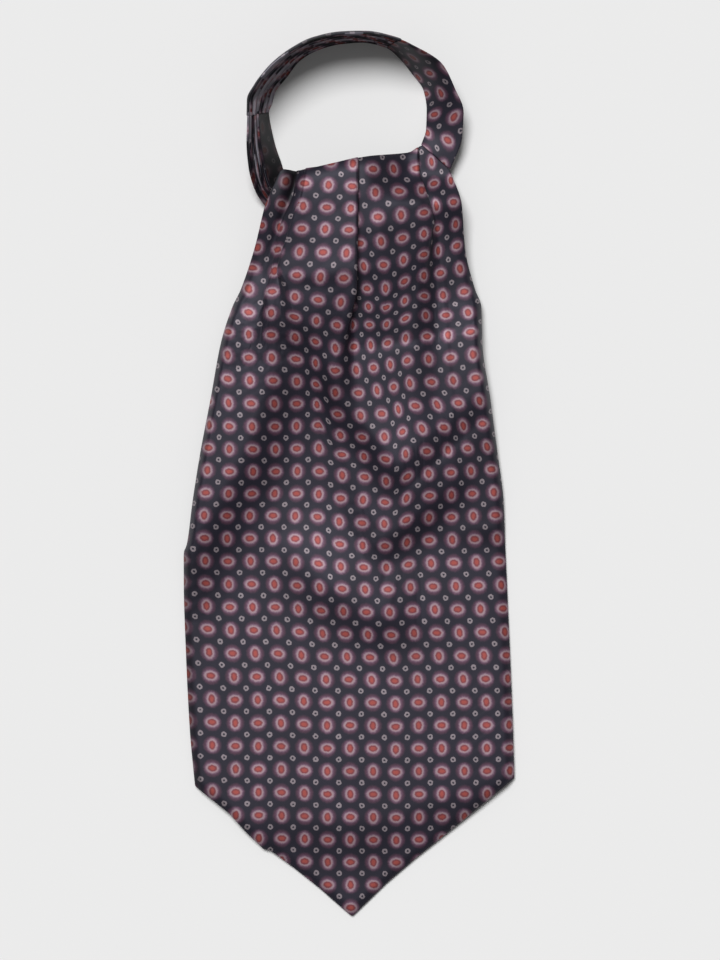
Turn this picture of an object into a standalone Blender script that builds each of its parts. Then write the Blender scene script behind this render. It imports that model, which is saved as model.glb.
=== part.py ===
"""A silk day cravat laid flat on a table, with its neckband standing on edge in a loop.

The cravat is two wide pointed blades joined by a narrow pleated neckband. It is folded in half,
so one blade lies on the other. Five stretches of cloth show or carry it, and each is one solid:

front_blade   the blade on top, with four knife pleats at its head and soft folds down its length
right_taper   the narrow stretch of the same blade that climbs the right of the neck loop
neckband      the strip of fine stitched pleats that stands over the top of the loop
left_taper    the narrow stretch of the second blade that comes down the left of the loop
under_blade   the second blade, hidden under the first and flat on the table

Each is a wall of cloth on a surface of two directions: along the cravat and across it.
Sizes are in millimetres. x runs to the right from the blade's middle line, y up from its tip,
and z up from the table. The last step turns them to metres and centres the part on the origin.
"""
import bpy
import numpy as np

for old in list(bpy.data.objects):
    bpy.data.objects.remove(old)

MM = 0.001

# Cloth
WALL = 1.0              # the blade's two turned-in layers of silk and the interlining
UNDER_WALL = 2.0        # the hidden blade with its seam and turnings
BAND_WALL = 1.2         # the neckband's stitched layers
SEAM = 0.4              # space between two pieces at a seam

# The front blade
HEAD = 376.0            # from the tip to the folded head, on the middle line
HEM_FADE = 150.0        # the pointed hem's slant has died out this far up
SLANT_START = 250.0     # the head's slant starts this far up
REST = 2.9              # height of the cloth's middle layer where it lies on the under blade
JOIN = 7.0              # height of the cloth's middle layer where the blade runs into its taper

# The blade's side edges. A row for each height up the blade.
EDGES = {
    "y":     (65, 92, 131, 165, 181, 185, 207, 232, 258, 285, 304, 312, 332, 354, 372),
    "left":  (-78, -80.5, -82.5, -83.5, -83.5, -82, -79, -75, -70, -65, -59, -55, -48, -42.2, -36),
    "right": (80.8, 80, 78.5, 77, 76.3, 76.1, 75.2, 72, 68.5, 64.5, 64, 61, 55.8, 54, 48.2),
}
# The pointed hem, with the small step that a crease makes in its left side
HEM = {
    "x": (-84, -78, -61, -52.5, -44, -40.5, -28.5, -16, -8.5, 0, 17, 31.5, 51.5, 65.5, 80.6, 86),
    "y": (70, 65, 51.5, 42, 33.8, 32.9, 24, 14, 7.4, 0, 16.5, 29, 45, 56.5, 69, 73.5),
}
# The folded head, from the left side over the middle to the corner that joins the taper
TOP = {
    "x": (-44, -42.2, -34.7, -27, -17, 3.5, 25, 29, 34.7, 48.2, 50),
    "y": (349, 353.5, 370.5, 369.8, 371, 375.8, 379.4, 380, 383.7, 371.8, 370.2),
}

# The four knife pleats. Each has the line of its edge, how far it has turned over in degrees
# (180 lies flat on itself, 0 is smooth cloth), the length of its inner layer and the length of
# each of its two bends. The panel named in "over" lies on top.
PLEATS = (
    {
        "name": "outer left", "over": "right",
        "y":    (0, 150, 240, 285, 300, 314, 326, 340, 352, 364, 376),
        "edge": (-60, -64, -60, -52, -48.5, -46, -42, -37.5, -33.5, -28.5, -27),
        "turn": (0, 0, 4, 12, 24, 60, 150, 180, 180, 180, 180),
        "fold": (5, 5, 4, 2.5, 1.6, 1.0, 0.8, 1.2, 2.0, 2.4, 2.6),
        "bend": (7, 7, 6, 4, 3.2, 2.8, 2.8, 2.9, 3.0, 3.0, 3.0),
    },
    {
        "name": "inner left", "over": "right",
        "y":    (0, 150, 240, 285, 300, 314, 326, 340, 352, 364, 376),
        "edge": (-35, -38, -38, -36, -35.5, -36, -36.5, -32.2, -28.8, -24.5, -22.5),
        "turn": (0, 0, 4, 10, 20, 50, 140, 180, 180, 180, 180),
        "fold": (5, 5, 4, 2.5, 1.6, 1.0, 0.8, 1.2, 2.0, 2.4, 2.6),
        "bend": (7, 7, 6, 4, 3.2, 2.8, 2.8, 2.9, 3.0, 3.0, 3.0),
    },
    {
        "name": "centre", "over": "left",
        "y":    (0, 150, 210, 235, 260, 285, 310, 330, 345, 360, 376),
        "edge": (14, 12, 10, 7, 4, 2.2, 2.2, 2.4, 2.6, 2.7, 2.8),
        "turn": (0, 0, 4, 10, 24, 58, 112, 156, 174, 180, 180),
        "fold": (5, 5, 5, 5, 4.5, 4, 4, 5, 7, 8.5, 10),
        "bend": (7, 7, 6, 5.5, 5, 4, 3.4, 3.0, 2.8, 2.8, 2.8),
    },
    {
        "name": "right", "over": "left",
        "y":    (0, 150, 240, 280, 300, 320, 336, 346, 355, 364, 376),
        "edge": (50, 50, 48, 45, 43.5, 42, 41, 39.5, 36, 33.2, 32.6),
        "turn": (0, 0, 6, 20, 34, 50, 90, 160, 180, 180, 180),
        "fold": (5, 5, 5, 5, 4.5, 3, 1.4, 1.0, 1.4, 2.0, 2.6),
        "bend": (7, 7, 7, 6, 5, 3.6, 2.8, 2.8, 2.8, 2.8, 2.8),
    },
)

# How the cloth rolls down at the blade's turned-in edges: depth, and width of the rolled strip
SIDE_ROLL = {"depth": 1.7, "width": 4.5}
HEM_ROLL = {"depth": 1.5, "width": 4.0}
HEAD_ROLL = {"depth": 2.4, "width": 6.0}
ROLL_LIMIT = 1.8        # most that side and hem roll down together
HEM_LEAN = 0.75         # distance from the slanted hem over height above it

# The head's left shoulder rides over the left taper, and its right corner climbs into the right
# one. The edges don't roll down at either. Each pair is where it begins and where it is full.
SHOULDER = {"x": -42, "y": 360, "rise": 5.0, "wide": 18.0, "tall": 20.0}
SHOULDER_FLAT = {"x": (-24, -35), "y": (320, 346)}
CORNER_CLIMB = {"x": (14, 35), "y": (340, 371)}
CORNER_FLAT = {"x": (26, 36), "y": (330, 366)}

# The main creases of the front blade. Each runs along an arc through three points as a ridge that
# is steep on one side and gentle on the other. "falls" says which side is steep, seen while
# going from the first point to the last.
CREASES = (
    {"name": "left sweep", "x": (-36, -57, -82), "y": (272, 224, 170), "rise": 7.0,
     "steep": 9.0, "gentle": 15.0, "falls": "left"},
    {"name": "tongue, left side", "x": (-14, -3, 24), "y": (292, 248, 218), "rise": 5.5,
     "steep": 7.0, "gentle": 17.0, "falls": "right"},
    {"name": "tongue, right side", "x": (54, 32, 2), "y": (226, 206, 186), "rise": 6.0,
     "steep": 8.0, "gentle": 14.0, "falls": "left"},
    {"name": "lower sweep", "x": (-34, -8, 34), "y": (176, 148, 138), "rise": 3.2,
     "steep": 9.0, "gentle": 20.0, "falls": "right"},
    {"name": "tip bend", "x": (-48, 4, 66), "y": (38, 46, 62), "rise": 2.6,
     "steep": 11.0, "gentle": 22.0, "falls": "right"},
    {"name": "left panel dip", "x": (-38, -20, -4), "y": (318, 314, 316), "rise": 2.0,
     "steep": 6.0, "gentle": 12.0, "falls": "right"},
    {"name": "right edge swell", "x": (57, 58, 64), "y": (310, 270, 232), "rise": 3.0,
     "steep": 9.0, "gentle": 9.0, "falls": "right"},
)

# The neck loop. A row for each station round it: the rim inside the loop and the rim outside it.
# The neckband stands up with its outside rim on top, and both tapers lean over and lie down.
LOOP = {
    "at": ("hidden end", "under head", "left bend", "left side", "left wall", "left seam",
           "band 1", "band 2", "band 3", "band 4", "band 5", "band 6", "band 7", "right seam",
           "right wall", "right lean", "right side", "right low", "right bend", "blade corner"),
    "in_x": (-23, -30, -34, -35.5, -39, -42, -40.5, -38.7, -33, -26.7, -18.8, -6.8, 5, 17.5,
             23.5, 30.7, 36.2, 37.8, 37.4, 34.9),
    "in_y": (357.3, 364.3, 369.4, 375, 385.5, 401, 405.5, 411.6, 419, 427, 432, 435.6, 436.6, 433.8,
             429.1, 420.4, 412.4, 402.8, 392.5, 384.1),
    "in_z": (1.0, 1.0, 1.0, 0.6, 0.5, 0.2, 0.2, 0.2, 0.2, 0.2, 0.2, 0.2, 0.2, 0.2,
             0.2, 0.2, 0.5, 1.2, 3.5, 7.0),
    "out_x": (-33.9, -42, -47.7, -50.6, -51.4, -50.8, -50.8, -47.2, -38.5, -28.4, -18.3, -5, 7.5, 24.1,
              30.3, 44.5, 51.7, 56.2, 55.5, 48.6),
    "out_y": (341.3, 353, 361.5, 371.7, 382.8, 396.2, 404, 411, 421.5, 428.8, 433.6, 436.2, 436.6, 433.3,
              430.7, 423, 411.2, 399.8, 387.4, 372.2),
    "out_z": (1.0, 3.0, 7.5, 16, 23, 28, 29, 29, 30, 30, 30, 30, 29, 27,
              25, 20, 15.5, 12.5, 9.5, 7.0),
}
BAND_PLEATS = 5         # pleats stitched side by side along the neckband
BAND_PLEAT_RISE = 1.5   # how far a pleat's edge stands from the band
TAPER_PLEATS = 4        # the same pleats fanning out in the left taper
TAPER_PLEAT_RISE = 1.1
TAPER_PLEATS_GROW = (0.15, 0.6)     # share of the left taper over which they rise
BAND_PLEATS_EASE = 0.35             # share of their rise lost towards the right seam
PLEAT_CREST = 0.74      # place of a pleat's edge in its own width, as each leans one way

# The under blade, which is cut like the front one and lies a little inside it
UNDER = {
    "left_x":  (-70, -73, -75, -69, -58, -47, -39, -32.9),
    "left_y":  (70, 110, 165, 215, 260, 300, 326, 340.6),
    "right_x": (72, 72, 69, 64, 50, 33, 8, -22.0),
    "right_y": (72, 112, 165, 215, 262, 305, 338, 356.6),
}
UNDER_POINT = 9.0       # its own tip lies this far up from the front blade's
UNDER_POINT_FADE = 0.32 # share of its length over which the point's slant dies out
UNDER_ROUND = 0.8       # its turned edges bulge out this far

# Colours of the silk, linear
SILK = (0.040, 0.042, 0.058, 1.0)
SILK_ROUGHNESS = 0.42


def smooth(start, end, at):
    """0 before start, 1 after end, and an even S between them."""
    t = np.clip((np.asarray(at, float) - start) / (end - start), 0.0, 1.0)
    return t * t * (3.0 - 2.0 * t)


def curve(knots, values, at):
    """A smooth line through the values that never swings past them (cubic pieces)."""
    x = np.asarray(knots, float)
    y = np.asarray(values, float)
    step = np.diff(x)
    rate = np.diff(y) / step
    slope = np.zeros(len(x))
    same_way = rate[:-1] * rate[1:] > 0
    mean = 2.0 * rate[:-1] * rate[1:] / np.where(same_way, rate[:-1] + rate[1:], 1.0)
    slope[1:-1] = np.where(same_way, mean, 0.0)
    slope[0] = rate[0]
    slope[-1] = rate[-1]
    at = np.clip(np.asarray(at, float), x[0], x[-1])
    i = np.clip(np.searchsorted(x, at, side="right") - 1, 0, len(x) - 2)
    t = (at - x[i]) / step[i]
    a = (1 + 2 * t) * (1 - t) ** 2 * y[i] + t * (1 - t) ** 2 * step[i] * slope[i]
    return a + t * t * (3 - 2 * t) * y[i + 1] + t * t * (t - 1) * step[i] * slope[i + 1]


def crease_height(crease, x, y):
    """A ridge along an arc: the square of the distance to it, over its width, as a bell curve.
    The width differs on the two sides, and the ridge dies out towards both ends."""
    along = np.linspace(0.0, 1.0, 41)
    a, b, c = ((1 - along) ** 2, 2 * along * (1 - along), along ** 2)
    px, py = (a * p[0] + b * (2 * p[1] - (p[0] + p[2]) / 2) + c * p[2]
              for p in (crease["x"], crease["y"]))
    tx = np.gradient(px)
    ty = np.gradient(py)
    length = np.hypot(tx, ty)
    gap_x = x[..., None] - px
    gap_y = y[..., None] - py
    nearest = np.argmin(gap_x ** 2 + gap_y ** 2, axis=-1)
    dx = np.take_along_axis(gap_x, nearest[..., None], -1)[..., 0]
    dy = np.take_along_axis(gap_y, nearest[..., None], -1)[..., 0]
    to_left = (tx[nearest] * dy - ty[nearest] * dx) / length[nearest]
    steep_side = to_left > 0 if crease["falls"] == "left" else to_left < 0
    width = np.where(steep_side, crease["steep"], crease["gentle"])
    fade = np.sin(np.pi * np.clip(along[nearest], 0.02, 0.98)) ** 0.7
    beyond = np.hypot(dx, dy) ** 2 - to_left ** 2
    return crease["rise"] * fade * np.exp(-(to_left / width) ** 2 - beyond / crease["steep"] ** 2)


def pleat_steps(pleat, up, bend_steps, fold_steps):
    """One pleat as short steps: a bend, the inner layer, and the bend back.
    Returns each step's length and its angle, a row for each height up the blade."""
    turn = np.radians(curve(pleat["y"], pleat["turn"], up))
    fold = curve(pleat["y"], pleat["fold"], up)
    bend = curve(pleat["y"], pleat["bend"], up)
    part = (np.arange(bend_steps) + 0.5) / bend_steps
    angle = np.concatenate([part, np.ones(fold_steps), part[::-1]])
    is_bend = np.concatenate([np.ones(bend_steps), np.zeros(fold_steps), np.ones(bend_steps)])
    length = is_bend * bend[:, None] / bend_steps + (1 - is_bend) * fold[:, None] / fold_steps
    return length, angle * turn[:, None]


def front_blade_surface(rows, panel_steps, bend_steps, fold_steps):
    """The middle layer of the front blade: rows from the hem to the head, columns from the left
    edge to the right one. Each row is flat panels with pleats between them, each pleat a turn of
    the cloth under itself and back, and the creases raise it."""
    up = HEAD * rows
    to_hem = 1.0 - smooth(0.0, HEM_FADE, up)
    to_top = smooth(SLANT_START, HEAD, up)

    def lifted(x):
        hem = np.interp(x, HEM["x"], HEM["y"])
        top = np.interp(x, TOP["x"], TOP["y"]) - HEAD
        weights = (w.reshape(w.shape + (1,) * (np.ndim(x) - 1)) for w in (up, to_hem, to_top))
        level, low, high = weights
        return level + hem * low + top * high

    # A row's height at an edge depends on how far out the edge is, so it settles in a few rounds
    edges = []
    for side in ("left", "right"):
        x = curve(EDGES["y"], EDGES[side], up)
        for _ in range(12):
            x = curve(EDGES["y"], EDGES[side], lifted(x))
        edges.append(x)
    left, right = edges

    pieces_x = []
    pieces_z = []
    start = left
    level = np.zeros(len(up))
    for pleat, steps in zip(PLEATS + (None,), panel_steps):
        if pleat is None:
            end = right
        else:
            length, angle = pleat_steps(pleat, up, bend_steps, fold_steps)
            run = np.cumsum(length * np.cos(angle), axis=1)
            climb = np.cumsum(length * np.sin(angle), axis=1)
            edge = curve(pleat["y"], pleat["edge"], up)
            nose = run.max(axis=1)
            end = edge - nose if pleat["over"] == "left" else edge + nose - run[:, -1]
            climb = -climb if pleat["over"] == "left" else climb
        part = np.arange(steps) / steps
        pieces_x.append(start[:, None] + (end - start)[:, None] * part)
        pieces_z.append(np.repeat(level[:, None], steps, axis=1))
        if pleat is not None:
            pieces_x.append(end[:, None])
            pieces_z.append(level[:, None])
            pieces_x.append((end[:, None] + run)[:, :-1])
            pieces_z.append((level[:, None] + climb)[:, :-1])
            start = end + run[:, -1]
            level = level + climb[:, -1]
    pieces_x.append(right[:, None])
    pieces_z.append(level[:, None])
    x = np.concatenate(pieces_x, axis=1)
    z = np.concatenate(pieces_z, axis=1)
    share = (x - left[:, None]) / (right - left)[:, None]
    z = z - level[:, None] * share
    z = z - np.minimum(z.min(axis=1, keepdims=True), 0.0)
    y = lifted(x)

    relief = sum(crease_height(crease, x, y) for crease in CREASES)
    across = (x - SHOULDER["x"]) / SHOULDER["wide"]
    along = (y - SHOULDER["y"]) / SHOULDER["tall"]
    z = REST + z + relief + SHOULDER["rise"] * np.exp(-across ** 2 - along ** 2)

    def rolled(distance, roll):
        return roll["depth"] * np.clip(1 - distance / roll["width"], 0, 1) ** 2

    def within(corner):
        return smooth(*corner["x"], x) * smooth(*corner["y"], y)

    side = rolled(np.minimum(x - left[:, None], right[:, None] - x), SIDE_ROLL)
    hem = rolled(HEM_LEAN * (y - np.interp(x, HEM["x"], HEM["y"])), HEM_ROLL)
    head = rolled(np.interp(x, TOP["x"], TOP["y"]) - y, HEAD_ROLL)
    down = np.minimum(side + hem, ROLL_LIMIT) + head
    z = z - down * (1 - within(CORNER_FLAT)) * (1 - within(SHOULDER_FLAT))
    z = z + (JOIN - REST) * within(CORNER_CLIMB)
    return np.stack([x, y, z], axis=-1)


def loop_surface(first, last, steps, across, pleats, rise, trim=(0.0, 0.0)):
    """The middle layer of one stretch of the loop, from one station to another: straight lines
    from the inside rim to the outside one, with pleats as low saw teeth across them. The inside
    rim comes first. "trim" draws the ends in by a length."""
    names = LOOP["at"]
    station = np.arange(len(names))
    begin, end = names.index(first), names.index(last)
    fine = np.linspace(begin, end, 400)
    rims = [np.stack([curve(station, LOOP[f"{rim}_{axis}"], fine) for axis in "xyz"], -1)
            for rim in ("in", "out")]
    middle = (rims[0] + rims[1]) / 2
    walked = np.concatenate([[0], np.cumsum(np.linalg.norm(np.diff(middle, axis=0), axis=1))])
    at = np.linspace(trim[0], walked[-1] - trim[1], steps + 1)
    inner, outer = (np.stack([np.interp(at, walked, rim[:, k]) for k in range(3)], -1) for rim in rims)
    part = np.asarray(across)
    points = inner[:, None] + (outer - inner)[:, None] * part[None, :, None]
    forward = np.gradient((inner + outer) / 2, axis=0)
    face = np.cross(forward, outer - inner)
    face /= -np.linalg.norm(face, axis=1, keepdims=True)
    tooth = (part * pleats) % 1.0
    tooth = np.where(tooth < PLEAT_CREST, tooth / PLEAT_CREST, (1 - tooth) / (1 - PLEAT_CREST))
    share = at / walked[-1]
    height = rise(share)[:, None] * tooth[None, :]
    return points + face[:, None] * height[..., None]


def under_blade_surface(rows, columns):
    """The hidden blade: straight rows from its left edge to its right one, the lowest bent down
    to a point in the middle, all at one height."""
    knots = np.linspace(0, 1, len(UNDER["left_x"]))
    lx, ly, rx, ry = (curve(knots, UNDER[k], rows) for k in ("left_x", "left_y", "right_x", "right_y"))
    x = lx[:, None] + (rx - lx)[:, None] * columns
    y = ly[:, None] + (ry - ly)[:, None] * columns
    point = (1 - np.abs(2 * columns - 1)) * (1 - smooth(0, UNDER_POINT_FADE, rows))[:, None]
    y = y - point * (UNDER["left_y"][0] - UNDER_POINT)
    return np.stack([x, y, np.full_like(x, UNDER_WALL / 2)], axis=-1)


def facing(points):
    """The unit normal at each point of a grid, from its neighbours both ways."""
    normal = np.cross(np.gradient(points, axis=1), np.gradient(points, axis=0))
    return normal / np.linalg.norm(normal, axis=-1, keepdims=True)


def wall(name, middle, thickness, round_rim=0.0):
    """A closed wall of cloth: the surface moved out and in by half its thickness, and its rim."""
    normal = facing(middle)
    front = middle + normal * thickness / 2
    back = middle - normal * thickness / 2
    rows, columns = middle.shape[:2]
    front[..., 2] = np.maximum(front[..., 2], 0.0)
    back[..., 2] = np.maximum(back[..., 2], 0.0)
    index = np.arange(rows * columns).reshape(rows, columns)
    a, b, c, d = index[:-1, :-1], index[:-1, 1:], index[1:, 1:], index[1:, :-1]
    quads = np.stack([a, b, c, d], -1).reshape(-1, 4)
    rim = np.concatenate([index[0, :-1], index[:-1, -1], index[-1, :0:-1], index[:0:-1, 0]])
    after = np.roll(rim, -1)
    count = rows * columns
    vertices = [front.reshape(-1, 3), back.reshape(-1, 3)]
    faces = [quads, quads[:, ::-1] + count]
    if round_rim:
        flat = middle.reshape(-1, 3)
        beside = flat[after] - flat[np.roll(rim, 1)]
        out = np.cross(beside, normal.reshape(-1, 3)[rim])
        out /= np.linalg.norm(out, axis=1, keepdims=True)
        vertices.append(flat[rim] + out * round_rim)
        ring = 2 * count + np.arange(len(rim))
        next_ring = np.roll(ring, -1)
        faces.append(np.stack([after, rim, ring, next_ring], -1))
        faces.append(np.stack([next_ring, ring, rim + count, after + count], -1))
    else:
        faces.append(np.stack([after, rim, rim + count, after + count], -1))
    mesh = bpy.data.meshes.new(name)
    mesh.from_pydata(np.concatenate(vertices).tolist(), [], np.concatenate(faces).tolist())
    mesh.update()
    return mesh


def silk(name):
    """A dark printed silk with a soft sheen, in the colour of its ground."""
    material = bpy.data.materials.new(name)
    material.use_nodes = True
    shader = material.node_tree.nodes["Principled BSDF"]
    shader.inputs["Base Color"].default_value = SILK
    shader.inputs["Roughness"].default_value = SILK_ROUGHNESS
    shader.inputs["Metallic"].default_value = 0.0
    return material


def even(steps):
    return np.linspace(0.0, 1.0, steps + 1)


def denser_at_ends(steps, pull=0.45):
    """Steps from 0 to 1 that are shorter towards both ends."""
    t = even(steps)
    return t - pull * np.sin(2 * np.pi * t) / (2 * np.pi)


def pleated(pleats):
    """Steps across a pleated strip: the foot, the middle and the crest of each pleat."""
    in_one = np.array([0.0, PLEAT_CREST / 2, PLEAT_CREST])
    return np.append(np.add.outer(np.arange(pleats), in_one).ravel() / pleats, 1.0)


meshes = {
    "front_blade": wall(
        "front_blade",
        front_blade_surface(denser_at_ends(38), (5, 2, 6, 5, 5), 3, 1),
        WALL,
    ),
    "right_taper": wall(
        "right_taper",
        loop_surface("right seam", "blade corner", 18, even(8), 1, np.zeros_like, (SEAM, SEAM)),
        BAND_WALL,
    ),
    "neckband": wall(
        "neckband",
        loop_surface("left seam", "right seam", 34, pleated(BAND_PLEATS), BAND_PLEATS,
                     lambda share: BAND_PLEAT_RISE * (1 - BAND_PLEATS_EASE * share), (SEAM / 2, 0.0)),
        BAND_WALL,
    ),
    "left_taper": wall(
        "left_taper",
        loop_surface("hidden end", "left seam", 20, pleated(TAPER_PLEATS), TAPER_PLEATS,
                     lambda share: TAPER_PLEAT_RISE * smooth(*TAPER_PLEATS_GROW, share), (SEAM, SEAM / 2)),
        BAND_WALL,
    ),
    "under_blade": wall(
        "under_blade", under_blade_surface(even(16), even(14)), UNDER_WALL, round_rim=UNDER_ROUND,
    ),
}

corners = np.concatenate([[v.co[:] for v in mesh.vertices] for mesh in meshes.values()])
centre = (corners.min(axis=0) + corners.max(axis=0)) / 2
cravat = bpy.data.collections.new("silk_cravat")
bpy.context.scene.collection.children.link(cravat)
for name, mesh in meshes.items():
    places = np.array([v.co[:] for v in mesh.vertices])
    places[:, :2] -= centre[:2]
    mesh.vertices.foreach_set("co", (places * MM).ravel())
    mesh.materials.append(silk(name + "_silk"))
    mesh.shade_smooth()
    piece = bpy.data.objects.new(name, mesh)
    cravat.objects.link(piece)
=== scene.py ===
import bpy
import numpy as np
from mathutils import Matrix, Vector


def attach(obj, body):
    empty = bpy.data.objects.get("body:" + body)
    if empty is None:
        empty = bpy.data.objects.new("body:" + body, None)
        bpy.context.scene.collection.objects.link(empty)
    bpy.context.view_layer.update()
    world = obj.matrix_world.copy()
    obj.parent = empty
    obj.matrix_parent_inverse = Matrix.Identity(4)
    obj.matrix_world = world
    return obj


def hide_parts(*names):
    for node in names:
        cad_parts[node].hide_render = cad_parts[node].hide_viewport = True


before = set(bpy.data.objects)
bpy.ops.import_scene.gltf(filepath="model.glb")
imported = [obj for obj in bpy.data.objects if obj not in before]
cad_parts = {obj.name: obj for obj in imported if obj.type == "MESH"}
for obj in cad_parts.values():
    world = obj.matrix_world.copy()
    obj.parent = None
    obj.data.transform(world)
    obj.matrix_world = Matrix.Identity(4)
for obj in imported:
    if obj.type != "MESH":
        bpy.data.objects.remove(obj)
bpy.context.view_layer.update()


# The front blade.
# One layer of printed silk twill, cut to a point, with its edges turned in and four knife pleats
# folded over at its head. It lies on the under blade and runs into the right taper.
# Sizes are in millimetres: x to the right of the blade's middle line, y up from its tip, z up.
TIP = np.array([1.486, -219.21, 0.0])   # where the blade's tip lies in the frame, mm
HEAD = 376.0                            # from the tip to the folded head on the middle line
HEM_FADE = 150.0                        # the pointed hem's slant has died out this far up
SLANT_START = 250.0                     # the head's slant starts this far up
REST = 2.9                              # height of the silk's middle where it lies flat
JOIN = 7.0                              # height where the blade runs into its taper
SILK_THICKNESS = 0.9
WRONG_SIDE = 0.12                       # how much of the print comes through to the silk's back

# The turned edges and the folded head roll down: the drop, and how far in from the edge it starts
SIDE_ROLL = {"drop": 1.7, "width": 4.5}
HEM_ROLL = {"drop": 1.5, "width": 4.0}
HEAD_ROLL = {"drop": 2.4, "width": 6.0}
MOST_ROLL = 1.8                         # at a corner, where a side and the hem both roll
SQUARE_TO_HEM = 0.75                    # the way square to the slanting hem, for each mm up
SIDE_FALL = {"share": 0.6, "width": 3.0}    # a fold loses this share of its height at a side
SHOULDER = {"rise": 5.0, "x": -42, "y": 360, "half_width": 18, "half_length": 20}

BLADE_EDGES = {
    "y":     (65, 92, 131, 165, 181, 185, 207, 232, 258, 285, 304, 312, 332, 354, 372),
    "left":  (-78, -80.5, -82.5, -83.5, -83.5, -82, -79, -75, -70, -65, -59, -55, -48, -42.2, -36),
    "right": (80.8, 80, 78.5, 77, 76.3, 76.1, 75.2, 72, 68.5, 64.5, 64, 61, 55.8, 54, 48.2),
}
HEM = {
    "x": (-84, -78, -61, -52.5, -44, -40.5, -28.5, -16, -8.5, 0, 17, 31.5, 51.5, 65.5, 80.6, 86),
    "y": (70, 65, 51.5, 42, 33.8, 32.9, 24, 14, 7.4, 0, 16.5, 29, 45, 56.5, 69, 73.5),
}
FOLDED_HEAD = {
    "x": (-44, -42.2, -34.7, -27, -17, 3.5, 25, 29, 34.7, 48.2, 50),
    "y": (349, 353.5, 370.5, 369.8, 371, 375.8, 379.4, 380, 383.7, 371.8, 370.2),
}

# A knife pleat: the line of its edge, how far it has turned over in degrees (180 lies flat on
# itself, 0 is smooth silk), the length of its inner layer and of each bend. The panel named in
# "over" lies on top.
PLEATS = (
    {
        "name": "outer left", "over": "right",
        "y":    (0, 150, 240, 285, 300, 314, 326, 340, 352, 364, 376),
        "edge": (-60, -64, -60, -52, -48.5, -46, -42, -37.5, -33.5, -28.5, -27),
        "turn": (0, 0, 4, 12, 24, 60, 150, 180, 180, 180, 180),
        "fold": (5, 5, 4, 2.5, 1.6, 1.0, 0.8, 1.2, 2.0, 2.4, 2.6),
        "bend": (7, 7, 6, 4, 3.2, 2.8, 2.8, 2.9, 3.0, 3.0, 3.0),
    },
    {
        "name": "inner left", "over": "right",
        "y":    (0, 150, 240, 285, 300, 314, 326, 340, 352, 364, 376),
        "edge": (-35, -38, -38, -36, -35.5, -36, -36.5, -32.2, -28.8, -24.5, -22.5),
        "turn": (0, 0, 4, 10, 20, 50, 140, 180, 180, 180, 180),
        "fold": (5, 5, 4, 2.5, 1.6, 1.0, 0.8, 1.2, 2.0, 2.4, 2.6),
        "bend": (7, 7, 6, 4, 3.2, 2.8, 2.8, 2.9, 3.0, 3.0, 3.0),
    },
    {
        "name": "centre", "over": "left",
        "y":    (0, 150, 210, 235, 260, 285, 310, 330, 345, 360, 376),
        "edge": (14, 12, 10, 7, 4, 2.2, 2.2, 2.4, 2.6, 2.7, 2.8),
        "turn": (0, 0, 4, 10, 24, 58, 112, 156, 174, 180, 180),
        "fold": (5, 5, 5, 5, 4.5, 4, 4, 5, 7, 8.5, 10),
        "bend": (7, 7, 6, 5.5, 5, 4, 3.4, 3.0, 2.8, 2.8, 2.8),
    },
    {
        "name": "right", "over": "left",
        "y":    (0, 150, 240, 280, 300, 320, 336, 346, 355, 364, 376),
        "edge": (50, 50, 48, 45, 43.5, 42, 41, 39.5, 36, 33.2, 32.6),
        "turn": (0, 0, 6, 20, 34, 50, 90, 160, 180, 180, 180),
        "fold": (5, 5, 5, 5, 4.5, 3, 1.4, 1.0, 1.4, 2.0, 2.6),
        "bend": (7, 7, 7, 6, 5, 3.6, 2.8, 2.8, 2.8, 2.8, 2.8),
    },
)

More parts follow.
